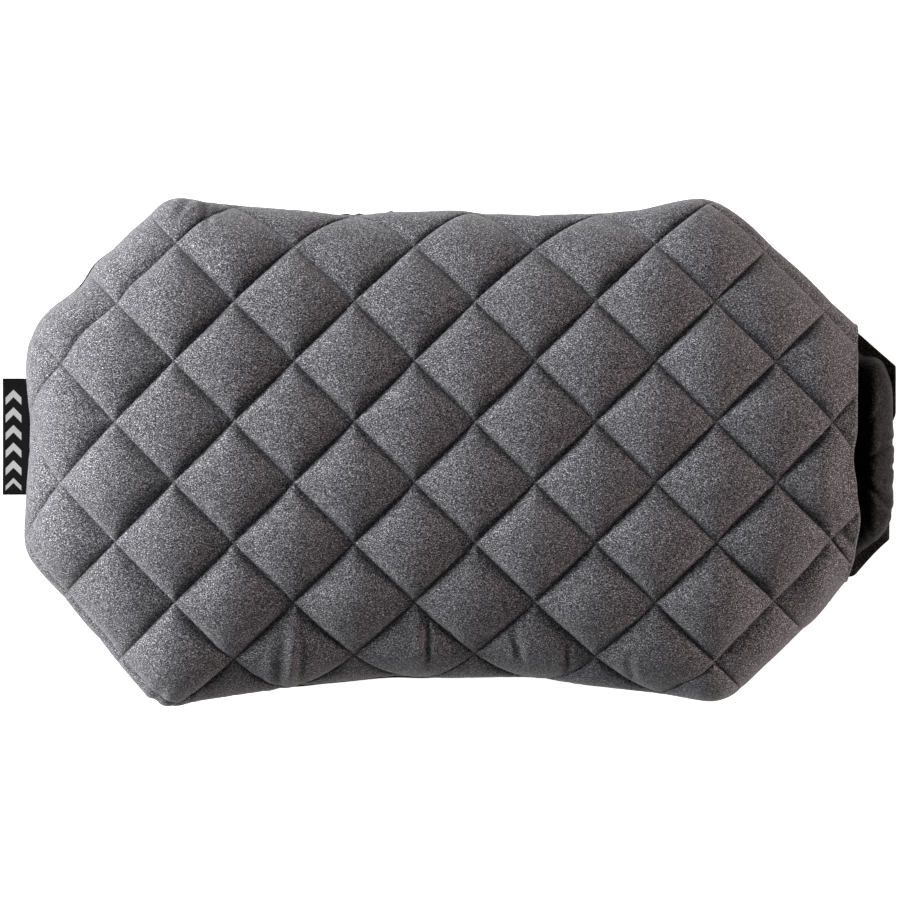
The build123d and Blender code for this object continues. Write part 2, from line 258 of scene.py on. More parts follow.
def inward(x, y, softness=CORNER_SOFTNESS):
    """The direction in which the inset grows fastest, and how fast."""
    h = 1e-5
    dx = (inset_of(x + h, y, softness) - inset_of(x - h, y, softness)) / (2 * h)
    dy = (inset_of(x, y + h, softness) - inset_of(x, y - h, softness)) / (2 * h)
    steep = np.hypot(dx, dy) + 1e-9
    return dx / steep, dy / steep, steep


def strayed(points):
    """Takes points along where the seam beside them strays from the even outline."""
    x, y = points[:, 0], points[:, 1]
    nx, ny, _ = inward(x, y)
    beside = np.exp(-((np.clip(inset_of(x, y), 0, None) / WANDER_REACH) ** 2))
    out = eased(SEAM_WANDER, np.degrees(np.arctan2(y, x)) % 360) * beside
    return np.column_stack([x - nx * out, y - ny * out, points[:, 2:]])


def lengths_along(line):
    """Distance along a line at each of its points."""
    return np.concatenate([[0], np.cumsum(np.hypot(*np.diff(line, axis=0).T))])


def even_loop(line, count):
    """Points evenly spaced round a closed line."""
    line = np.vstack([line, line[:1]])
    along = lengths_along(line)
    at = np.linspace(0, along[-1], count, endpoint=False)
    return np.stack([np.interp(at, along, line[:, k]) for k in range(line.shape[1])], -1)


TURN = np.linspace(0, 2 * np.pi, 4 * RIM_POINTS, endpoint=False)


def ray_line(is_inside, turn=TURN):
    """Where rays from the middle of the pillow leave an area."""
    near, far = np.zeros_like(turn), np.full_like(turn, HALF_WIDTH + AIR_END)
    for _ in range(40):
        middle = (near + far) / 2
        inside = is_inside(middle * np.cos(turn), middle * np.sin(turn))
        near, far = np.where(inside, middle, near), np.where(inside, far, middle)
    return np.stack([near * np.cos(turn), near * np.sin(turn)], -1)


def level_line(inset, softness, turn=TURN):
    """The outline drawn in by inset."""
    return ray_line(lambda x, y: inset_of(x, y, softness) > inset, turn)


def grid_triangles(rows, columns, closed=True):
    """Triangles over a grid of points, row after row."""
    i, j = np.meshgrid(np.arange(rows - 1), np.arange(columns if closed else columns - 1))
    i, j = i.ravel(), j.ravel()
    k = (j + 1) % columns
    a, b, c, d = i * columns + j, i * columns + k, (i + 1) * columns + k, (i + 1) * columns + j
    return np.vstack([np.stack([a, b, c], -1), np.stack([a, c, d], -1)])


class Shell:
    """One rounded face of the pillow, and the cloth it is made from, unrolled from its middle."""

    def __init__(self, rim, flat, spread, power, inset=0.0, softness=CORNER_SOFTNESS):
        self.rim, self.flat, self.spread, self.power = rim, flat, spread, power
        self.inset, self.softness = inset, softness
        self.plan = spread * np.linspace(0, 1, 4000) ** power
        self.arc = lengths_along(np.stack([self.plan, self.height(self.plan)], -1))
        self.excess = self.arc[-1] - spread
        self.unroll()

    def height(self, plan):
        """Height of the face at a distance in from its own rim."""
        left = np.clip(1 - plan / self.spread, 0, 1)
        return self.rim + (self.flat - self.rim) * (1 - left**self.power) ** (1 / self.power)

    def unroll(self):
        """Follows the face in from its rim, ring by ring, and lays each ring out on the cloth."""
        x, y = even_loop(level_line(self.inset, self.softness), RIM_POINTS).T
        arcs = np.arange(0, UNROLLED * self.arc[-1], RING_STEP)
        rows = []
        for arc in arcs:
            plan = np.interp(arc, self.arc, self.plan)
            for _ in range(4):
                nx, ny, steep = inward(x, y, self.softness)
                miss = (plan - self.reach(x, y)) / steep
                x, y = x + nx * miss, y + ny * miss
            shift = self.excess + plan - arc
            rows.append(np.stack([x - nx * shift, y - ny * shift, x, y, np.full_like(x, arc)], -1))
        self.rows = np.array(rows)
        self.nodes = self.rows.reshape(-1, 5)
        self.triangles = grid_triangles(len(arcs), RIM_POINTS)
        cloth = [(u, v, 0) for u, v in self.nodes[:, :2]]
        self.tree = BVHTree.FromPolygons(cloth, self.triangles.tolist())

    def reach(self, x, y):
        """Distance in from the face's own rim."""
        return inset_of(x, y, self.softness) - self.inset

    def locate(self, cloth):
        """Where points of the flat cloth come to lie: x, y, and how far up; -1 is off the cloth."""
        hits = [self.tree.find_nearest((u, v, 0)) for u, v in cloth]
        foot = np.array([hit[0].to_2d() for hit in hits])
        corners = self.nodes[self.triangles[[hit[2] for hit in hits]]]
        a, b, c = (corners[:, k, :2] for k in range(3))
        area = cross(b - a, c - a)
        share_b = cross(foot - a, c - a) / area
        share_c = cross(b - a, foot - a) / area
        shares = np.stack([1 - share_b - share_c, share_b, share_c], -1)
        found = (shares[:, :, None] * corners[:, :, 2:]).sum(1)
        off = np.hypot(*(foot - cloth).T)
        middle = (off > 1e-6) & (found[:, 2] > self.nodes[-1, 4] / 2)
        found[middle, :2] = cloth[middle]
        plan = np.clip(self.reach(*cloth[middle].T), 0, self.spread)
        found[middle, 2] = np.interp(plan, self.plan, self.arc)
        found[(off > 1e-6) & ~middle, 2] = -1
        return found

    def place(self, cloth):
        """The points of the face where points of the flat cloth come to lie."""
        found = self.locate(cloth)
        found[:, 2] = self.height(np.interp(found[:, 2], self.arc, self.plan))
        return found


def cross(a, b):
    return a[:, 0] * b[:, 1] - a[:, 1] * b[:, 0]


# ---- Meshes ----


def placed(name, data, place=(0, 0, 0)):
    """A new object in the scene."""
    made = bpy.data.objects.new(name, data)
    bpy.context.scene.collection.objects.link(made)
    made.location = place
    return made


def new_object(name, points, faces, smooth=True):
    """A mesh object from points and faces."""
    mesh = bpy.data.meshes.new(name)
    mesh.from_pydata(np.asarray(points).tolist(), [], np.asarray(faces).tolist())
    mesh.validate()
    mesh.update()
    if smooth:
        mesh.shade_smooth()
    return placed(name, mesh)


def vectors_of(data, kind):
    """The vectors of one kind in mesh data, as rows."""
    values = np.zeros(3 * len(data))
    data.foreach_get(kind, values)
    return values.reshape(-1, 3)


def normals_of(points, triangles):
    """Smooth unit normals of a triangle mesh."""
    a, b, c = (points[triangles[:, k]] for k in range(3))
    faces = np.cross(b - a, c - a)
    total = np.zeros_like(points)
    for k in range(3):
        np.add.at(total, triangles[:, k], faces)
    return total / (np.linalg.norm(total, axis=1, keepdims=True) + 1e-12)


def quilt_coordinates(cloth):
    """Position across the two sets of quilting lines, which lie at whole numbers."""
    across = (cloth[:, 0] - QUILT_ORIGIN[0]) / DIAMOND[0]
    along = (cloth[:, 1] - QUILT_ORIGIN[1]) / DIAMOND[1]
    return np.stack([across + along, across - along], -1)


def from_quilt(lattice):
    """The inverse of quilt_coordinates."""
    across = QUILT_ORIGIN[0] + DIAMOND[0] * (lattice[:, 0] + lattice[:, 1]) / 2
    along = QUILT_ORIGIN[1] + DIAMOND[1] * (lattice[:, 0] - lattice[:, 1]) / 2
    return np.stack([across, along], -1)


def jittered(low, high, step, rng):
    """Points of a loose hexagonal grid."""
    rows = np.arange(low[1], high[1], step * math.sqrt(3) / 2)
    u, v = np.meshgrid(np.arange(low[0], high[0], step), rows)
    u = u + (np.arange(len(rows)) % 2)[:, None] * step / 2
    fill = np.stack([u.ravel(), v.ravel()], -1)
    return fill + rng.uniform(-JITTER, JITTER, fill.shape) * step


def beside_lines(lattice):
    """Rows of points close beside the quilting lines, clear of the crossings."""
    rows = []
    for offset in CREASE_ROWS:
        for axis in (0, 1):
            on_line = np.abs(lattice[:, axis] - np.round(lattice[:, axis])) < 1e-6
            along = lattice[on_line, 1 - axis]
            clear = np.abs(along - np.round(along)) * LINE_PITCH > offset + CROSSING_GAP
            for side in (-1, 1):
                row = lattice[on_line][clear].copy()
                row[:, axis] += side * offset / LINE_PITCH
                rows.append(row)
    return from_quilt(np.vstack(rows))


def cloth_mesh(shell, step, rng, quilted=False, coarse=None, fine_from=None):
    """Triangulates a shell's flat cloth, with edges along its rim and its quilting lines."""
    rim = shell.rows[0][:, :2]
    rim = even_loop(rim, int(lengths_along(np.vstack([rim, rim[:1]]))[-1] / step))
    groups = [rim]
    edges = [(i, (i + 1) % len(rim)) for i in range(len(rim))]
    low, high = rim.min(0), rim.max(0)
    if quilted:
        per_side = round(LINE_PITCH / step)
        corners = [(u, v) for u in (low[0], high[0]) for v in (low[1], high[1])]
        reach = quilt_coordinates(np.array(corners))
        first, last = np.floor(reach.min(0)).astype(int), np.ceil(reach.max(0)).astype(int)
        axes = (np.arange(a * per_side, b * per_side + 1) for a, b in zip(first, last))
        ticks = np.stack(np.meshgrid(*axes, indexing="ij"), -1).reshape(-1, 2)
        ticks = ticks[(ticks % per_side == 0).any(1)]
        points = from_quilt(ticks / per_side)
        kept = shell.locate(points)[:, 2] > RIM_GAP * step
        ticks, points = ticks[kept], points[kept]
        beside = beside_lines(ticks / per_side)
        number = {tuple(t): len(rim) + i for i, t in enumerate(ticks.tolist())}
        for (p, q), i in number.items():
            for other, fixed in (((p + 1, q), q), ((p, q + 1), p)):
                if fixed % per_side == 0 and other in number:
                    edges.append((i, number[other]))
        groups += [points, beside[shell.locate(beside)[:, 2] > RIM_GAP * step]]
    fill = jittered(low, high, step, rng)
    if coarse:
        wide = jittered(low, high, coarse, rng)
        fill = np.vstack([wide[wide[:, 0] < fine_from], fill[fill[:, 0] >= fine_from]])
    kept = shell.locate(fill)[:, 2] > RIM_GAP * step
    if quilted:
        lattice = quilt_coordinates(fill)
        gap = np.abs(lattice - np.round(lattice)).min(1) * LINE_PITCH
        kept &= gap > CREASE_ROWS[-1] + 0.5 * step
    groups.append(fill[kept])
    flat = np.vstack(groups)
    made = delaunay_2d_cdt([Vector(p) for p in flat], edges, [], 1, 1e-7)
    outwards = 1 if shell.flat > shell.rim else -1
    return np.array([tuple(p) for p in made[0]]), np.array(made[2])[:, ::outwards]


def smooth_step(value):
    value = np.clip(value, 0, 1)
    return value * value * (3 - 2 * value)


def eased(stops, at):
    """A smooth curve through (position, value) stops."""
    places, values = np.array(stops).T
    k = np.clip(np.searchsorted(places, at) - 1, 0, len(places) - 2)
    share = smooth_step((at - places[k]) / (places[k + 1] - places[k]))
    return values[k] + (values[k + 1] - values[k]) * share


def folded(points, plan):
    """Height of small folds, each from one place to another in plan; a fold may be a groove."""
    hollow, off, spread = FOLD_HOLLOW
    height = np.zeros(len(points))
    for start, end, rise, half_width in plan:
        start, run = np.array(start), np.array(end) - np.array(start)
        length = np.hypot(*run)
        away = points[:, :2] - start
        along = away @ run / length**2
        beside = np.abs(away[:, 0] * run[1] - away[:, 1] * run[0]) / length / half_width
        shape = np.exp(-(beside**2)) - hollow * np.exp(-((beside - off) ** 2) / spread)
        height += rise * shape * eased(FOLD_ENDS, along)
    return height


# ---- Materials ----


def node(tree, kind, *settings):
    """Adds a shader node. A setting is a property or an input, with its value or its source."""
    made = tree.nodes.new(kind)
    for key, value in settings:
        if isinstance(key, str) and hasattr(made, key):
            setattr(made, key, value)
        elif isinstance(value, bpy.types.NodeSocket):
            tree.links.new(value, made.inputs[key])
        else:
            made.inputs[key].default_value = value
    return made


def new_material(name, roughness, **settings):
    """A material, with its tree, its shader and the object's own coordinates."""
    made = bpy.data.materials.new(name)
    made.use_nodes = True
    tree = made.node_tree
    shader = tree.nodes["Principled BSDF"]
    shader.inputs["Roughness"].default_value = roughness
    for key, value in settings.items():
        shader.inputs[key.replace("_", " ").title().replace("Ior", "IOR")].default_value = value
    place = node(tree, "ShaderNodeTexCoord").outputs["Object"]
    return made, tree, shader, place


def grain(tree, place, size, detail=2.0, roughness=0.55, stretch=(1, 1, 1)):
    """Cloudy noise with features of about that size."""
    sizes = [1 / (size * s) for s in stretch]
    scaled = node(tree, "ShaderNodeMapping", ("Scale", sizes), ("Vector", place)).outputs["Vector"]
    noise = (("Scale", 1.0), ("Detail", detail), ("Roughness", roughness), ("Vector", scaled))
    return node(tree, "ShaderNodeTexNoise", *noise).outputs["Fac"]


def ramp(tree, source, stops):
    """Colours over a value, as (position, colour) stops; one number is a grey."""
    made = node(tree, "ShaderNodeValToRGB", ("Fac", source))
    while len(made.color_ramp.elements) < len(stops):
        made.color_ramp.elements.new(0.5)
    for element, (position, colour) in zip(made.color_ramp.elements, stops):
        element.position = position
        element.color = (*np.broadcast_to(colour, 3), 1)
    return made.outputs["Color"]


def mixed(tree, share, a, b, blend="MIX"):
    """Two colours mixed, each of the three a value or a socket."""
    settings = (("data_type", "RGBA"), ("blend_type", blend), (0, share), (6, a), (7, b))
    return node(tree, "ShaderNodeMix", *settings).outputs[2]


def multiplied(tree, colour, *more):
    """Colours multiplied with each other."""
    for each in more:
        colour = mixed(tree, 1.0, colour, each, "MULTIPLY")
    return colour


def maths(tree, operation, a, b=0.0, c=0.5):
    """One arithmetic step; a, b and c are numbers or sockets."""
    settings = (("operation", operation), (0, a), (1, b), (2, c))
    return node(tree, "ShaderNodeMath", *settings).outputs[0]


def bump(tree, shader, height, depth, strength=1.0, under=None):
    """Relief of that depth from a height between 0 and 1."""
    settings = (("Strength", strength), ("Distance", depth), ("Height", height))
    made = node(tree, "ShaderNodeBump", *settings)
    if under is not None:
        tree.links.new(under, made.inputs["Normal"])
    tree.links.new(made.outputs["Normal"], shader.inputs["Normal"])
    return made.outputs["Normal"]


def weave_height(tree, place, pitch, turn=0.0):
    """Plain weave: threads over and under in a checker, seen from any side."""
    settings = (("Rotation", [turn] * 3), ("Scale", [2 * math.pi / pitch] * 3), ("Vector", place))
    turned = node(tree, "ShaderNodeMapping", *settings).outputs["Vector"]
    axes = node(tree, "ShaderNodeSeparateXYZ", ("Vector", turned)).outputs
    waves = [maths(tree, "SINE", axes[axis]) for axis in "XYZ"]
    crossed = maths(tree, "MULTIPLY", waves[0], waves[1])
    total = maths(tree, "ADD", crossed, maths(tree, "MULTIPLY", waves[2], waves[0]))
    return maths(tree, "MULTIPLY_ADD", total, 0.25)


def heather_material():
    """Brushed grey polyester, spun from dark and light fibres."""
    made, tree, shader, place = new_material(
        "heather_polyester", 0.92, sheen_weight=0.25, sheen_roughness=0.45, specular_ior_level=0.25
    )
    fine = grain(tree, place, 0.00062, detail=3.0, roughness=0.7)
    clumps = grain(tree, place, 0.0022, roughness=0.6)
    clouds = grain(tree, place, 0.03, roughness=0.5)
    streaks = grain(tree, place, 0.0008, roughness=0.6, stretch=(1.8, 0.8, 1.0))
    speckle = ramp(tree, fine, [(0.34, (0.004, 0.004, 0.005)), (0.46, (0.050, 0.050, 0.057)),
                                (0.56, (0.182, 0.180, 0.196)), (0.67, (0.66, 0.655, 0.68))])
    fibre = ramp(tree, streaks, [(0.37, 0.24), (0.62, 1.6)])
    patch = ramp(tree, clumps, [(0.30, (0.78, 0.78, 0.79)), (0.70, 1.18)])
    wash = ramp(tree, clouds, [(0.3, (0.93, 0.93, 0.94)), (0.7, (1.06, 1.055, 1.05))])
    tree.links.new(multiplied(tree, speckle, fibre, patch, wash), shader.inputs["Base Color"])
    threads = weave_height(tree, place, 0.0011, turn=0.785)
    under = bump(tree, shader, threads, depth=0.00010, strength=0.6)
    bump(tree, shader, fine, depth=0.00022, strength=0.9, under=under)
    return made


def woven_material(name, dark, light, pitch, turn=0.0, sheen=0.1):
    """A plain-woven cloth with threads of that pitch."""
    made, tree, shader, place = new_material(name, 0.8, sheen_weight=sheen, specular_ior_level=0.15)
    threads = weave_height(tree, place, pitch, turn)
    shade = ramp(tree, threads, [(0.1, dark), (0.9, light)])
    slub = ramp(tree, grain(tree, place, 6 * pitch, detail=3.0), [(0.3, 0.8), (0.7, 1.2)])
    worn = ramp(tree, grain(tree, place, 0.02), [(0.35, 0.9), (0.7, (1.12, 1.11, 1.1))])
    tree.links.new(multiplied(tree, shade, slub, worn), shader.inputs["Base Color"])
    under = bump(tree, shader, threads, depth=0.00012)
    bump(tree, shader, grain(tree, place, 0.0012), depth=0.00012, strength=0.4, under=under)
    return made


def coated_material():
    """Bladder fabric: a fine black weave, its soft polyurethane sheen painted into the colour as bright
    speckles.
    """
    made, tree, shader, place = new_material("coated_bladder_fabric", 0.55, specular_ior_level=0.05)
    threads = weave_height(tree, place, 0.0008, turn=0.3)
    shade = ramp(tree, threads, [(0.1, (0.003, 0.003, 0.0033)), (0.9, (0.008, 0.0077, 0.008))])
    # Painted sheen: bright speckles multiplied into the colour stand in for the coating's glints, with
    # darker flecks between them.
    sheen_spots = grain(tree, place, 0.0013, detail=4.0, roughness=0.8)
    painted_sheen_speckle = ramp(tree, sheen_spots, [(0.40, 0.1), (0.50, (0.9, 0.87, 0.87)), (0.60, (7.4, 6.8, 6.6))])
    tree.links.new(multiplied(tree, shade, painted_sheen_speckle), shader.inputs["Base Color"])
    rough = ramp(tree, grain(tree, place, 0.006, detail=3.0), [(0.3, 0.45), (0.7, 0.68)])
    tree.links.new(rough, shader.inputs["Roughness"])
    under = bump(tree, shader, threads, depth=0.00008)
    crumple = grain(tree, place, 0.0035, detail=4.0, roughness=0.6)
    bump(tree, shader, crumple, depth=0.0005, strength=0.5, under=under)
    return made


def ribbed_material():
    """Damask label: fine ribs, with a pale chevron band woven along the middle of each side."""
    made, tree, shader, place = new_material("woven_label", 0.8, specular_ior_level=0.12)
    rib_pitch, pick_pitch = 0.0006, 0.0004
    axes = node(tree, "ShaderNodeSeparateXYZ", ("Vector", place)).outputs
    ribs = maths(tree, "SINE", maths(tree, "MULTIPLY", axes["Y"], 2 * math.pi / rib_pitch))
    picks = maths(tree, "SINE", maths(tree, "MULTIPLY", axes["X"], 2 * math.pi / pick_pitch))
    height = maths(tree, "MULTIPLY_ADD", maths(tree, "ADD", ribs, picks), 0.25)
    ground = ramp(tree, height, [(0.1, (0.0012, 0.0012, 0.0014)), (0.9, (0.006, 0.006, 0.0065))])
    pale = ramp(tree, height, [(0.1, 0.30), (0.9, (0.62, 0.62, 0.61))])
    off_middle = maths(tree, "ABSOLUTE", maths(tree, "SUBTRACT", axes["X"], LABEL_MIDDLE))
    slanted = maths(tree, "ADD", axes["Y"], off_middle)
    turns = maths(tree, "FRACT", maths(tree, "DIVIDE", slanted, CHEVRON_PITCH))
    bars = maths(tree, "LESS_THAN", turns, CHEVRON_SHARE)
    along = maths(tree, "ABSOLUTE", maths(tree, "SUBTRACT", slanted, BAND_Y))
    wide = maths(tree, "LESS_THAN", off_middle, BAND_HALF_WIDTH)
    band = maths(tree, "MULTIPLY", wide, maths(tree, "LESS_THAN", along, BAND_HALF_LENGTH))
    colour = mixed(tree, maths(tree, "MULTIPLY", bars, band), ground, pale)
    tree.links.new(colour, shader.inputs["Base Color"])
    bump(tree, shader, height, depth=0.00012)
    return made


def moulded_material(name, colour, roughness):
    """Moulded plastic with a fine eroded texture and soft wear."""
    made, tree, shader, place = new_material(name, roughness)
    texture = grain(tree, place, 0.0004, detail=3.0)
    wear = grain(tree, place, 0.004, detail=3.0)
    shade = ramp(tree, wear, [(0.3, [0.85 * c for c in colour]), (0.7, [1.25 * c for c in colour])])
    tree.links.new(shade, shader.inputs["Base Color"])
    rough = ramp(tree, wear, [(0.3, roughness - 0.08), (0.7, roughness + 0.1)])
    tree.links.new(rough, shader.inputs["Roughness"])
    bump(tree, shader, texture, depth=0.00004, strength=0.5)
    return made


def silicone_material():
    """Milky silicone of the check flap."""
    made, tree, shader, place = new_material(
        "silicone", 0.35, subsurface_weight=0.3, subsurface_radius=(0.002, 0.002, 0.002)
    )
    haze = grain(tree, place, 0.002)
    shade = ramp(tree, haze, [(0.3, 0.5), (0.7, (0.62, 0.62, 0.61))])
    tree.links.new(shade, shader.inputs["Base Color"])
    bump(tree, shader, haze, depth=0.00005, strength=0.3)
    return made


HEATHER = heather_material()
BACK_CLOTH = woven_material(
    "black_back_cloth", (0.004, 0.004, 0.0045), (0.017, 0.017, 0.019), 0.0009, sheen=0.02
)
LINING = woven_material("dark_lining", (0.014, 0.014, 0.015), (0.05, 0.05, 0.052), 0.0007, turn=0.2)
TAPE = woven_material("black_tape", 0.008, (0.03, 0.03, 0.032), 0.0012, turn=0.4)
COATED = coated_material()
LABEL = ribbed_material()
THREAD = woven_material("grey_thread", (0.07, 0.07, 0.075), (0.26, 0.26, 0.27), 0.0005, turn=0.6)
VALVE_PLASTIC = moulded_material("valve_plastic", (0.02, 0.02, 0.021), 0.42)
CAP_PLASTIC = moulded_material("valve_cap_plastic", (0.075, 0.075, 0.08), 0.36)
SILICONE = silicone_material()


def dress(piece, material, *more):
    """Gives a piece its material in place of any it has."""
    piece.data.materials.clear()
    for each in (material, *more):
        piece.data.materials.append(each)


# ---- Quilted cover ----

rng = np.random.default_rng(SEED)
crown = Shell(SEAM, TOP - PUFF_CREST * PUFF, CROWN_SPREAD, CROWN_POWER)


def puff_height(cloth, x, arc):
    """How far the quilting stands off its seams: each diamond its own height, flat at the rim."""
    lattice = quilt_coordinates(cloth)
    cells = np.floor(lattice).astype(int)
    own = np.random.default_rng(SEED + 1).uniform(-1, 1, (PUFF_CELLS, PUFF_CELLS))
    size = 1 + PUFF_VARIATION * own[tuple(cells.T % PUFF_CELLS)]
    across = 1 - 2 * (lattice - cells)
    dome = np.clip(1 - across**2, 0, 1).prod(1) ** PUFF_EDGE
    gap = np.abs(lattice - np.round(lattice)) * LINE_PITCH
    roll = (1 - np.exp(-gap / ROLL_REACH)).prod(1)
    at_hem = PUFF_AT_HEM + (1 - PUFF_AT_HEM) * smooth_step((MOUTH - x) / HEM_WAVE_REACH)
    dome *= PUFF * size * smooth_step(arc / PUFF_RISE) * at_hem
    return dome + ROLL * roll * smooth_step(arc / ROLL_RISE)


def mark_seams(piece, flat):
    """Lets the shading break along the quilting lines, where the cloth is stitched down."""
    lattice = quilt_coordinates(flat)
    sewn = np.abs(lattice - np.round(lattice)) < 1e-4
    ends = np.zeros(2 * len(piece.data.edges), int)
    piece.data.edges.foreach_get("vertices", ends)
    ends = ends.reshape(-1, 2)
    sharp = (sewn[ends[:, 0]] & sewn[ends[:, 1]]).any(1)
    piece.data.attributes.new("sharp_edge", "BOOLEAN", "EDGE").data.foreach_set("value", sharp)


def pinched(points, arc):
    """How far the seam draws the cloth beside it in, as a shift in plan."""
    nx, ny, _ = inward(points[:, 0], points[:, 1])
    pull = SEAM_PINCH * np.exp(-((arc / SEAM_PINCH_REACH) ** 2))
    return np.stack([nx, ny], -1) * pull[:, None]


def cut_across(piece, x):
    """Cuts off the part of a mesh past a plane across the pillow."""
    mesh = bmesh.new()
    mesh.from_mesh(piece.data)
    parts = mesh.verts[:] + mesh.edges[:] + mesh.faces[:]
    bmesh.ops.bisect_plane(
        mesh, geom=parts, dist=1e-6, plane_co=(x, 0, 0), plane_no=(1, 0, 0), clear_outer=True
    )
    bmesh.ops.remove_doubles(mesh, verts=mesh.verts, dist=0.2 * CLOTH_STEP)
    mesh.to_mesh(piece.data)
    mesh.free()


def turn_hem(piece, radius, depth):
    """Rolls a cut mouth edge inwards and back, as a hem with a rounded fold."""
    mesh = bmesh.new()
    mesh.from_mesh(piece.data)
    mesh.normal_update()
    end = max(v.co.x for v in mesh.verts)
    edge = [v for v in mesh.verts if v.is_boundary and v.co.x > end - 1e-5]
    edge.sort(key=lambda v: math.atan2(abs(v.co.z - SEAM), v.co.y))
    starts = [v.co.copy() for v in edge]
    normals = [Vector((0, v.normal.y, v.normal.z)).normalized() for v in edge]
    outwards = 1 if sum(normal.z for normal in normals) > 0 else -1
    route = [(radius * math.sin(a), radius * (1 - math.cos(a))) for a in np.linspace(0, math.pi, 8)[1:]]
    route += [(-back, 2 * radius) for back in np.linspace(0, depth, 5)[1:]]
    last = edge
    for out, down in route:
        row = [mesh.verts.new(p + Vector((out, 0, 0)) - n * down) for p, n in zip(starts, normals)]
        for i in range(len(row) - 1):
            corners = (last[i], last[i + 1], row[i + 1], row[i])[::outwards]
            mesh.faces.new(corners).smooth = True
        last = row
    mesh.to_mesh(piece.data)
    mesh.free()


def wave_hem(piece, stops, mouth):
    """Lets a mouth edge stand out and fall back along its length."""
    for vertex in piece.data.vertices:
        near = smooth_step((vertex.co.x - mouth + HEM_WAVE_REACH) / HEM_WAVE_REACH)
        vertex.co.x += float(eased(stops, vertex.co.y) * near)


def thicken(piece, thickness, offset=-1):
    made = piece.modifiers.new("thickness", "SOLIDIFY")
    made.thickness = thickness
    made.offset = offset
    return made


def blow_up(piece, held, pressure, slack, stiffness, bending):
    """Cloth simulation: pressure from inside swells the cloth between its held points."""
    mesh = piece.data
    large = vectors_of(mesh.vertices, "co") * SIM_SCALE
    mesh.vertices.foreach_set("co", large.ravel())
    group = piece.vertex_groups.new(name="held")
    group.add(np.flatnonzero(held).tolist(), 1.0, "REPLACE")
    cloth = piece.modifiers.new("cloth", "CLOTH")
    settings = cloth.settings
    settings.quality = 3
    settings.mass = 0.05
    settings.tension_stiffness = stiffness
    settings.compression_stiffness = stiffness
    settings.shear_stiffness = stiffness / 3
    settings.bending_stiffness = bending
    for kind in ("tension", "compression", "shear"):
        setattr(settings, f"{kind}_damping", 10)
    settings.air_damping = 3
    settings.use_pressure = True
    settings.uniform_pressure_force = pressure
    settings.shrink_min = -slack
    settings.vertex_group_mass = "held"
    settings.effector_weights.gravity = 0
    cloth.collision_settings.use_collision = False
    cloth.point_cache.frame_end = SIM_FRAMES
    for step in range(1, SIM_FRAMES + 1):
        bpy.context.scene.frame_set(step)
    done = piece.evaluated_get(bpy.context.evaluated_depsgraph_get())
    blown = vectors_of(done.data.vertices, "co") / SIM_SCALE
    piece.modifiers.remove(cloth)
    piece.vertex_groups.remove(group)
    mesh.vertices.foreach_set("co", blown.ravel())
    mesh.update()
    bpy.context.scene.frame_set(1)


def build_cover():
    """The quilted face: puffed between its stitches, blown up, cut at the mouth and hemmed."""
    flat, faces = cloth_mesh(crown, CLOTH_STEP, rng, quilted=True)
    located = crown.locate(flat)
    points = crown.place(flat)
    lattice = quilt_coordinates(flat)
    gap = np.abs(lattice - np.round(lattice)).min(1) * LINE_PITCH
    lift = puff_height(flat, located[:, 0], located[:, 2])
    lift += folded(points, FACE_FOLDS) * smooth_step(gap / FOLD_CLEARANCE)
    points += normals_of(points, faces) * lift[:, None]
    points[:, :2] += pinched(points, located[:, 2])
    points = strayed(points)
    cover = new_object("quilted_cover", points, faces)
    mark_seams(cover, flat)
    on_cloth = np.column_stack([lattice, np.ones(len(flat))])
    kept = cover.data.attributes.new("cloth", "FLOAT_VECTOR", "POINT")
    kept.data.foreach_set("vector", on_cloth.ravel())
    held = (gap < 1e-5) | (located[:, 2] < 0.3 * CLOTH_STEP)
    blow_up(cover, held, pressure=2.5, slack=0.004, stiffness=15, bending=0.05)
    cut_across(cover, MOUTH)
    plain = len(cover.data.vertices)
    turn_hem(cover, HEM_RADIUS, HEM_DEPTH)
    group = cover.vertex_groups.new(name="wadding")
    for vertex in cover.data.vertices:
        near = smooth_step((vertex.co.x - MOUTH) / HEM_TAPER + 1) if vertex.index < plain else 1
        group.add([vertex.index], float(1 - HEM_THINNING * near), "REPLACE")
    wave_hem(cover, HEM_WAVE, MOUTH)
    thickness = thicken(cover, COVER_THICKNESS)
    thickness.vertex_group = group.name
    thickness.material_offset = 1
    dress(cover, HEATHER, LINING)
    return cover


quilted_cover = build_cover()
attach(quilted_cover, "pillow")
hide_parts("cover_face", "quilt_wadding", "quilt_lining", "mouth_facing")


def along_rim(points):
    """How far round the pillow each point lies, from 0 to 1."""
    rim = level_line(0.0, CORNER_SOFTNESS)
    along = lengths_along(np.vstack([rim, rim[:1]]))
    angle = np.arctan2(points[:, 1], points[:, 0]) % (2 * np.pi)
    return np.interp(angle, np.append(TURN, 2 * np.pi), along / along[-1])


def gathers(points, arc, depth, reach, waves, seed):
    """Small folds that run in from the seam and die away."""
    draw = np.random.default_rng(seed)
    around = 2 * np.pi * along_rim(points)
    total = np.zeros(len(points))
    for wave in draw.integers(waves[0], waves[1], 9):
        total += np.sin(wave * around + draw.uniform(0, 2 * np.pi)) / 3
    patches = 0.6 + 0.4 * np.sin(5 * around + draw.uniform(0, 2 * np.pi))
    return depth * patches * np.abs(total) * smooth_step(arc / FOLD_RISE) * np.exp(-arc / reach)


def pillow_piece(name, points, faces, material, thickness=0.0, offset=0):
    """A piece in one material that rides on the pillow; a modifier gives it its thickness."""
    piece = new_object(name, points, faces)
    if thickness:
        thicken(piece, thickness, offset)
    dress(piece, material)
    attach(piece, "pillow")
    return piece


def face_piece(name, shell, material, shaped, thickness, step, **mesh_settings):
    """A sheet that covers a whole face of the pillow, with its own small folds."""
    flat, faces = cloth_mesh(shell, step, rng, **mesh_settings)
    located = shell.locate(flat)
    points = shaped(shell.place(flat), located[:, 2], faces)
    return pillow_piece(name, points, faces, material, thickness, -1)


# ---- Back of the cover ----

base = Shell(SEAM, 0.0, BASE_SPREAD, BASE_POWER)


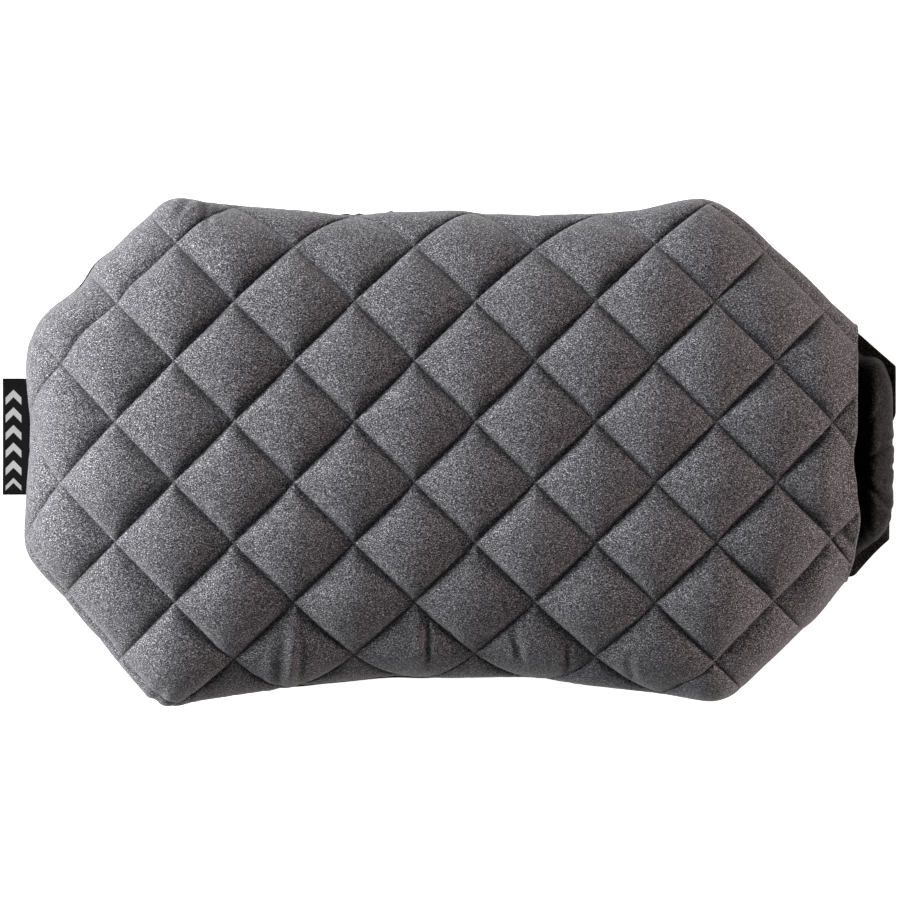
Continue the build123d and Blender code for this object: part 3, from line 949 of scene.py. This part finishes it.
def waves_along(place, waves):
    """Waves added up, each with its rate, its start and its height."""
    return sum(high * np.sin(rate * place + start) for rate, start, high in waves)


def peeping(points):
    """How much of the seam's pull the back is spared, in stretches where it shows past the face."""
    around = 2 * np.pi * along_rim(points)
    return BACK_PEEP * smooth_step(waves_along(around, PEEP_WAVES) - PEEP_LEVEL)


def back_shape(points, arc, faces):
    """Gathers the back along its seam, and keeps it on the floor."""
    folds = gathers(points, arc, *BACK_FOLDS, SEED + 2)
    points = points + normals_of(points, faces) * folds[:, None]
    points[:, :2] += pinched(points, arc) * (1 - peeping(points))[:, None]
    points[:, 2] = np.maximum(points[:, 2], 0.0)
    return strayed(points)


cover_back_panel = face_piece(
    "cover_back_panel", base, BACK_CLOTH, back_shape, BACK_THICKNESS, BACK_STEP
)
cut_across(cover_back_panel, BACK_MOUTH)
turn_hem(cover_back_panel, BACK_HEM_RADIUS, HEM_DEPTH)
wave_hem(cover_back_panel, BACK_WAVE, BACK_MOUTH)
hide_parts("cover_back", "back_facing")
back_cut = base.rows[0][:, :2]
back_cut = back_cut[back_cut[:, 0] < BACK_MOUTH + HEM_DEPTH]


# ---- Tape inside the seam ----


def build_tape():
    """A band folded round the seam's edge, all the way round the pillow."""
    turn = TURN[::3]
    lines = []
    for inset, rise in TAPE_LINES:
        line = level_line(inset, CORNER_SOFTNESS, turn)
        lines.append(np.column_stack([line, np.full(len(line), SEAM + rise)]))
    points, faces = strayed(np.vstack(lines)), grid_triangles(len(lines), len(turn))
    return pillow_piece("seam_tape", points, faces, TAPE, TAPE_THICKNESS)


seam_tape = build_tape()
cut_across(seam_tape, BACK_MOUTH)
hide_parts("seam_binding")


# ---- Bladder ----

air_height = min(AIR_TOP, crown.flat - COVER_THICKNESS - FILM)
air_crown = Shell(
    SEAM + FILM / 4, air_height, CROWN_SPREAD - AIR_INSET, CROWN_POWER, AIR_INSET, AIR_SOFTNESS
)
air_base = Shell(
    SEAM - FILM / 4, AIR_BASE, BASE_SPREAD - AIR_INSET, BASE_POWER, AIR_INSET, AIR_SOFTNESS
)


def squeezed(points):
    """Shapes both sides of the bladder where it comes out of the mouth."""
    points = strayed(points)
    for side, stops in AIR_SIDES.items():
        on_side = smooth_step(side * points[:, 1] / SIDE_RUN)
        points[:, 1] *= 1 + (eased(stops, points[:, 0]) - 1) * on_side
    return points


def end_creases(points):
    """Depth of the folds that fan out over the bladder's end."""
    dx, dy = points[:, 0] - CREASE_CENTRE[0], points[:, 1] - CREASE_CENTRE[1]
    radius, bearing = np.hypot(dx, dy), np.degrees(np.arctan2(dy, dx))
    swell, swell_reach = CREASE_SWELL
    depth = np.zeros(len(points))
    for angle, deep in CREASES:
        beside = radius * np.radians(np.abs(bearing - angle))
        depth += deep * np.exp(-beside / CREASE_WIDTH)
        depth -= swell * deep * np.exp(-((beside / swell_reach) ** 2))
    return depth * eased(CREASE_SPAN, radius) * eased(CREASE_FRONT, dx)


def air_top_shape(points, arc, faces):
    """Lets the bladder's top dip behind the hem, and gathers and creases its end."""
    points[:, 2] = SEAM + (points[:, 2] - SEAM) * eased(END_DIP, points[:, 0])
    points = squeezed(points)
    folds = gathers(points, arc, *AIR_FOLDS, SEED + 3)
    creases = end_creases(points) * smooth_step(arc / CREASE_RIM)
    return points + normals_of(points, faces) * (folds - creases)[:, None]


flat_low, flat_high = (np.array([x, 0, z]) for x, z in VALVE_FLAT)
valve_up = (flat_high - flat_low) / np.linalg.norm(flat_high - flat_low)
valve_out = np.array([valve_up[2], 0, -valve_up[0]])
valve_seat = (flat_low + flat_high) / 2


def air_base_shape(points, arc, faces):
    """Gathers the bladder's base, and flattens it on the floor and under the valve."""
    folds = gathers(points, arc, *AIR_FOLDS, SEED + 4)
    points = squeezed(points) + normals_of(points, faces) * folds[:, None]
    points[:, 2] = np.maximum(points[:, 2], AIR_BASE)
    past = np.clip((points - valve_seat) @ valve_out, 0, None)
    return points - past[:, None] * valve_out


def open_round(piece, centre, axis, radius):
    """Opens a round hole through a sheet and draws its edge into a circle."""
    mesh = bmesh.new()
    mesh.from_mesh(piece.data)
    centre, axis = Vector(centre), Vector(axis)

    def across(point):
        away = point - centre
        return away - axis * away.dot(axis)

    near = [v for v in mesh.verts if (v.co - centre).length < 3 * radius]
    inner = [v for v in near if across(v.co).length < radius]
    bmesh.ops.delete(mesh, geom=inner, context="VERTS")
    for vertex in mesh.verts:
        if vertex.is_boundary and (vertex.co - centre).length < 1.6 * radius:
            off = across(vertex.co)
            vertex.co += off.normalized() * (radius - off.length)
    mesh.to_mesh(piece.data)
    mesh.free()


air_mesh = {"step": AIR_STEP, "coarse": AIR_STEP_INSIDE, "fine_from": FINE_FROM}
bladder_upper = face_piece("bladder_upper", air_crown, COATED, air_top_shape, FILM, **air_mesh)
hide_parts("bladder_top")
bladder_lower = face_piece("bladder_lower", air_base, COATED, air_base_shape, FILM, **air_mesh)
open_round(bladder_lower, valve_seat, valve_out, BARREL_RADIUS + FILM / 4)
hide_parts("bladder_base")


def flange_room(x, y):
    """Distance in from the flange's edge, which comes out further past the mouth."""
    sides = side_distances(x, y)
    flare = FLANGE_FLARE * smooth_step((x - MOUTH) / FLARE_RUN + 1)
    sides[4] += flare
    sides[7] += flare
    sides[1] += eased(FLANGE_END_WAVE, y)
    return sides.min(0) - FLANGE_INSET


def build_flange():
    """The flat weld round the bladder, ruffled where it is free of the cover."""
    turn = TURN[::2]
    outer = strayed(ray_line(lambda x, y: flange_room(x, y) > 0, turn))
    inner = squeezed(level_line(AIR_INSET + FLANGE_LAP, AIR_SOFTNESS, turn))
    rows = []
    for share in np.linspace(0, 1, 7):
        line = inner + (outer - inner) * share
        free = eased(FLANGE_FREE, line[:, 0] - MOUTH) * share
        wave = waves_along(line[:, 1], FLANGE_WAVES)
        droop = FLANGE_DROOP * smooth_step((DROOP_RUN - line[:, 1]) / DROOP_RUN)
        rows.append(np.column_stack([line, SEAM + free * (FLANGE_RUFFLE * wave - droop)]))
    faces = grid_triangles(len(rows), len(turn))
    return pillow_piece("weld_flange", np.vstack(rows), faces, COATED, FILM)


weld_flange = build_flange()
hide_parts("bladder_flange")


def baffle_sheet(name, node_name, side):
    """An inner wall from the bladder's bottom to its top, with round airways through it."""
    columns = np.arange(-BAFFLE_HALF, BAFFLE_HALF + BAFFLE_STEP / 2, BAFFLE_STEP)
    y = np.full_like(columns, side * BAFFLE_Y)
    low = air_base.height(air_base.reach(columns, y)) + FILM
    high = air_crown.height(air_crown.reach(columns, y)) - FILM
    rows = np.linspace(0, 1, BAFFLE_ROWS)[:, None]
    points = np.stack(np.broadcast_arrays(columns, y, low + (high - low) * rows), -1).reshape(-1, 3)
    faces = grid_triangles(BAFFLE_ROWS, len(columns), closed=False)
    piece = pillow_piece(name, points, faces, COATED, FILM / 2)
    middle = (AIR_BASE + AIR_TOP) / 2
    for x in (-AIRWAY_PITCH, 0, AIRWAY_PITCH):
        open_round(piece, (x, side * BAFFLE_Y, middle), (0, 1, 0), AIRWAY_RADIUS)
    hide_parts(node_name)


baffle_sheet("inner_wall_front", "baffle_front", -1)
baffle_sheet("inner_wall_rear", "baffle_rear", 1)


# ---- Label ----


def build_label():
    """A folded tab that comes out of the closed end's seam, a little curled along its length."""
    ply = LABEL_PLY
    tail, fold = LABEL_HIGH.x, LABEL_LOW.x + ply
    width = LABEL_HIGH.y - LABEL_LOW.y
    across = [(x, ply) for x in np.linspace(tail, fold, 14)]
    across += [(fold - ply * math.sin(a), ply * math.cos(a)) for a in np.linspace(0.4, 2.74, 6)]
    across += [(x, -ply) for x in np.linspace(fold, tail, 14)]
    rows = []
    for y in np.linspace(LABEL_LOW.y, LABEL_HIGH.y, LABEL_ROWS):
        share = 2 * (y - LABEL_LOW.y) / width - 1
        for x, z in across:
            out = (tail - x) / (tail - fold)
            lift = LABEL_CURL * out * (share**2 - 0.35 + 0.25 * math.sin(5 * share + 1))
            rows.append((x, y, SEAM + z + lift))
    faces = grid_triangles(LABEL_ROWS, len(across), closed=False)
    piece = pillow_piece("woven_label", rows, faces, LABEL, LABEL_THICKNESS)
    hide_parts("side_label")


build_label()


# ---- Stitching ----


def stitches(name, centres, along, up, material):
    """Short rounded stitches of thread, each dipping into the cloth at both of its ends."""
    aside = np.cross(up, along)
    rings = []
    for share, swell in STITCH_SHAPE:
        dip = STITCH_RADIUS * (0.9 - 1.9 * share**2)
        spine = centres + along * (share * STITCH_LENGTH / 2) + up * dip
        for k in range(STITCH_SIDES):
            angle = 2 * math.pi * k / STITCH_SIDES
            out = aside * math.cos(angle) + up * math.sin(angle)
            rings.append(spine + out * STITCH_RADIUS * swell)
    points = np.stack(rings, 1).reshape(-1, 3)
    each = grid_triangles(len(STITCH_SHAPE), STITCH_SIDES)
    caps = [[0, k + 1, k] for k in range(1, STITCH_SIDES - 1)]
    last = (len(STITCH_SHAPE) - 1) * STITCH_SIDES
    caps += [[last, last + k, last + k + 1] for k in range(1, STITCH_SIDES - 1)]
    each = np.vstack([each[:, ::-1], caps])
    faces = (each[None] + len(rings) * np.arange(len(centres))[:, None, None]).reshape(-1, 3)
    return pillow_piece(name, points, faces, material)


def quilting(cover):
    """The stitches along both sets of quilting lines, as centres, directions and normals."""
    on_cloth = vectors_of(cover.data.attributes["cloth"].data, "vector")
    points, normals = (vectors_of(cover.data.vertices, kind) for kind in ("co", "normal"))
    pitch = STITCH_PITCH / (math.hypot(*DIAMOND) / 2)
    reach = 0.02  # to both sides of a stitch, for its direction
    found = []
    for axis in (0, 1):
        nearest = np.round(on_cloth[:, axis])
        sewn = (np.abs(on_cloth[:, axis] - nearest) < 1e-3) & (on_cloth[:, 2] > 0.99)
        for line in np.unique(nearest[sewn]):
            here = np.flatnonzero(sewn & (nearest == line))
            here = here[np.argsort(on_cloth[here, 1 - axis])]
            run = on_cloth[here, 1 - axis]
            if len(here) < 4:
                continue
            at = np.arange(run[0] + pitch, run[-1] - pitch, pitch)
            ahead, behind, middle = (follow(at + k * reach, run, points[here]) for k in (1, -1, 0))
            found.append((middle, unit(ahead - behind), unit(follow(at, run, normals[here]))))
    return [np.vstack(parts) for parts in zip(*found)]


def follow(at, run, values):
    return np.stack([np.interp(at, run, column) for column in values.T], -1)


def unit(vectors):
    return vectors / (np.linalg.norm(vectors, axis=1, keepdims=True) + 1e-12)


quilt_stitches = stitches("quilt_stitches", *quilting(quilted_cover), THREAD)


# ---- Valve ----

for material, names in (
    (VALVE_PLASTIC, ("valve_weld_disc", "valve_barrel", "deflate_lid")),
    (CAP_PLASTIC, ("deflate_lid_pin", "inflate_cap_pin", "inflate_cap")),
    (SILICONE, ("check_flap",)),
):
    for name in names:
        dress(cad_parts[name], material)


# ---- Stage ----

camera = placed("camera", bpy.data.cameras.new("camera"), (CAMERA_X, 0, SEAM + CAMERA_RISE))
camera.data.sensor_width = 36
camera.data.lens = camera.data.sensor_width * CAMERA_RISE / VIEW_WIDTH
camera.data.clip_end = 200
bpy.context.scene.camera = camera

floor_plan = np.array([(-1, -1, 0), (1, -1, 0), (1, 1, 0), (-1, 1, 0)])
floor = new_object("floor", floor_plan * FLOOR_REACH - (0, 0, FILM), [(0, 1, 2, 3)], smooth=False)
white = {"base_color": (0.9, 0.9, 0.9, 1), "emission_color": (1, 1, 1, 1), "emission_strength": 0.90}
dress(floor, new_material("floor", 0.9, **white)[0])
floor.visible_diffuse = False


def area_light(name, place, size, power, colour):
    """A rectangular light that points at the middle of the pillow."""
    lamp = placed(name, bpy.data.lights.new(name, "AREA"), place)
    lamp.rotation_euler = (Vector(AIM) - Vector(place)).to_track_quat("-Z", "Y").to_euler()
    lamp.data.shape = "RECTANGLE"
    lamp.data.size, lamp.data.size_y = size
    lamp.data.energy = power
    lamp.data.color = colour


area_light("key", (-1.85, 0.52, 0.67), size=(2.3, 0.5), power=121, colour=(1, 1, 1))
area_light("fill", (2.0, 0.0, 0.44), size=(0.7, 0.5), power=36, colour=(1, 0.83, 0.78))
world = bpy.data.worlds.new("studio")
world.use_nodes = True
world.node_tree.nodes["Background"].inputs["Color"].default_value = (1, 1, 1, 1)
world.node_tree.nodes["Background"].inputs["Strength"].default_value = 0.08
bpy.context.scene.world = world
bpy.context.scene.view_settings.view_transform = "Standard"
